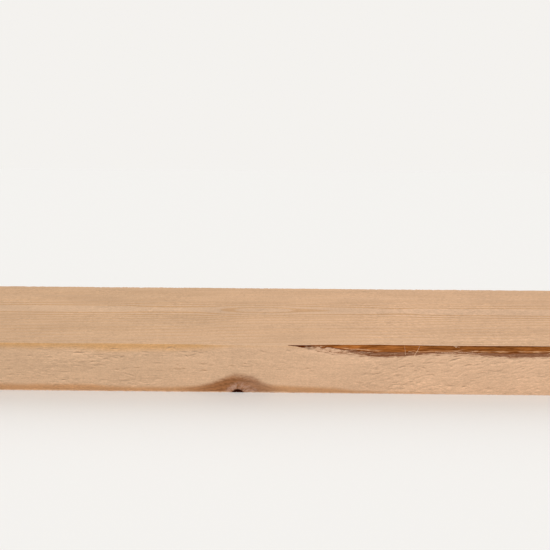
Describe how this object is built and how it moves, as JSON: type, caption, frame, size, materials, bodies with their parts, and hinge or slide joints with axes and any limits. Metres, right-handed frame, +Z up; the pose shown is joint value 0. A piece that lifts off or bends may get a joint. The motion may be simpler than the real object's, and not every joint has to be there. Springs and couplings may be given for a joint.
{
  "type": "timber lumber plank",
  "caption": "Rough-sawn softwood plank, rectangular in section and sawn square at both ends, with a waney upper edge and a knot hole at the lower edge of one narrow face.",
  "frame": {"origin": "middle of the underside, on the surface that the plank lies on", "axes": "+X along the length to the log's thin end, +Y across the width to the plain narrow face, +Z up through the thickness; the narrow face with the knot hole and the wane is at -Y"},
  "size_m": [2.4, 0.2, 0.05],
  "materials": {
    "sawn_wood": "rough sawn, bare"
  },
  "bodies": {
    "root": {"plank": "sawn_wood"}
  },
  "joints": []
}
